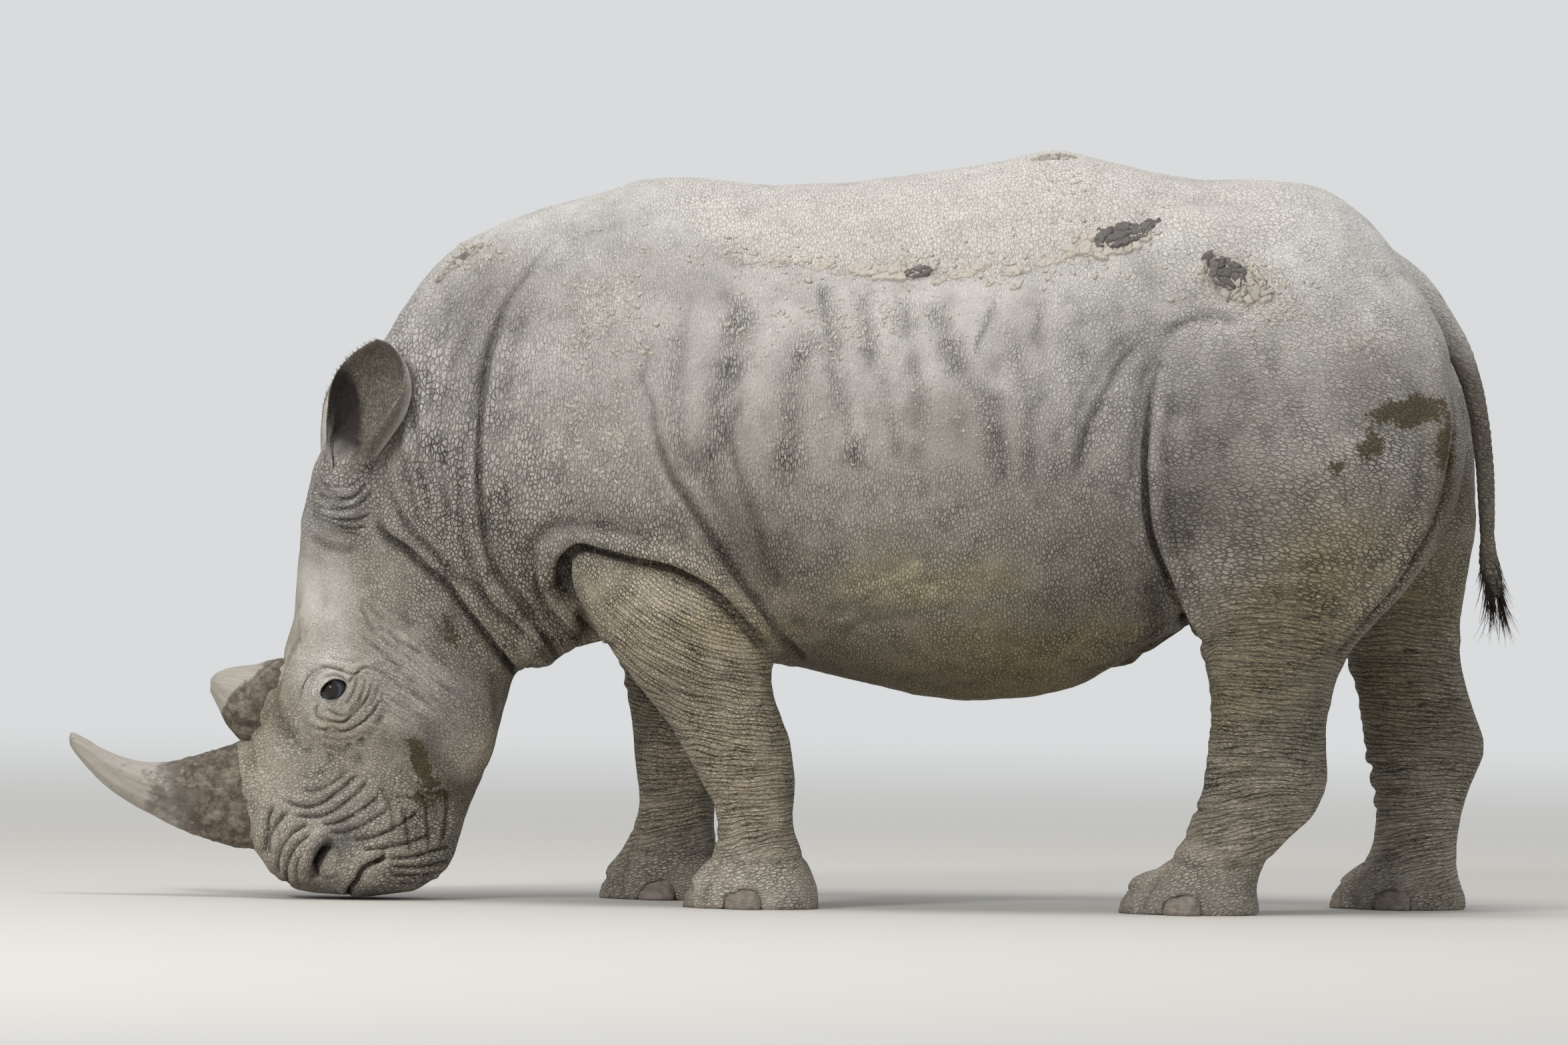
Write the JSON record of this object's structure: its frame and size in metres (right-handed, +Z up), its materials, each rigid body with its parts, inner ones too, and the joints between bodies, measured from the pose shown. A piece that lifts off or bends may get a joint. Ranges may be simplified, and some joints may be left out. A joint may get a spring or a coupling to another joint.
{
  "type": "white rhinoceros",
  "caption": "Life-size standing model of a white rhinoceros that grazes with its square muzzle just above the floor, with nasal horns, folded hide and a tufted tail.",
  "frame": {"origin": "on the floor, under the middle of the bounding box", "axes": "the head points along -X and the tail along +X, the animal's left side faces -Y, +Z is up"},
  "size_m": [3.1657, 1.036, 1.6649],
  "materials": {
    "hide": "dry wrinkled hide with pale dried mud",
    "horn": "fibrous, worn and muddy",
    "eye": "wet and glossy",
    "nail": "worn and dusty",
    "hair": "coarse dark hair"
  },
  "bodies": {
    "root": {"head": "hide", "lower_jaw": "hide", "neck": "hide", "trunk": "hide", "foreleg_upper_left": "hide", "foreleg_lower_left": "hide", "foot_front_left": "hide", "foreleg_upper_right": "hide", "foreleg_lower_right": "hide", "foot_front_right": "hide", "thigh_left": "hide", "hindleg_lower_left": "hide", "foot_hind_left": "hide", "thigh_right": "hide", "hindleg_lower_right": "hide", "foot_hind_right": "hide", "ear_left": "hide", "ear_right": "hide", "tail": "hide", "horn_front": "horn", "horn_rear": "horn", "eye_left": "eye", "eye_right": "eye", "nail_front_left_inner": "nail", "nail_front_left_middle": "nail", "nail_front_left_outer": "nail", "nail_front_right_inner": "nail", "nail_front_right_middle": "nail", "nail_front_right_outer": "nail", "nail_hind_left_inner": "nail", "nail_hind_left_middle": "nail", "nail_hind_left_outer": "nail", "nail_hind_right_inner": "nail", "nail_hind_right_middle": "nail", "nail_hind_right_outer": "nail", "tail_tuft": "hair"}
  },
  "joints": []
}
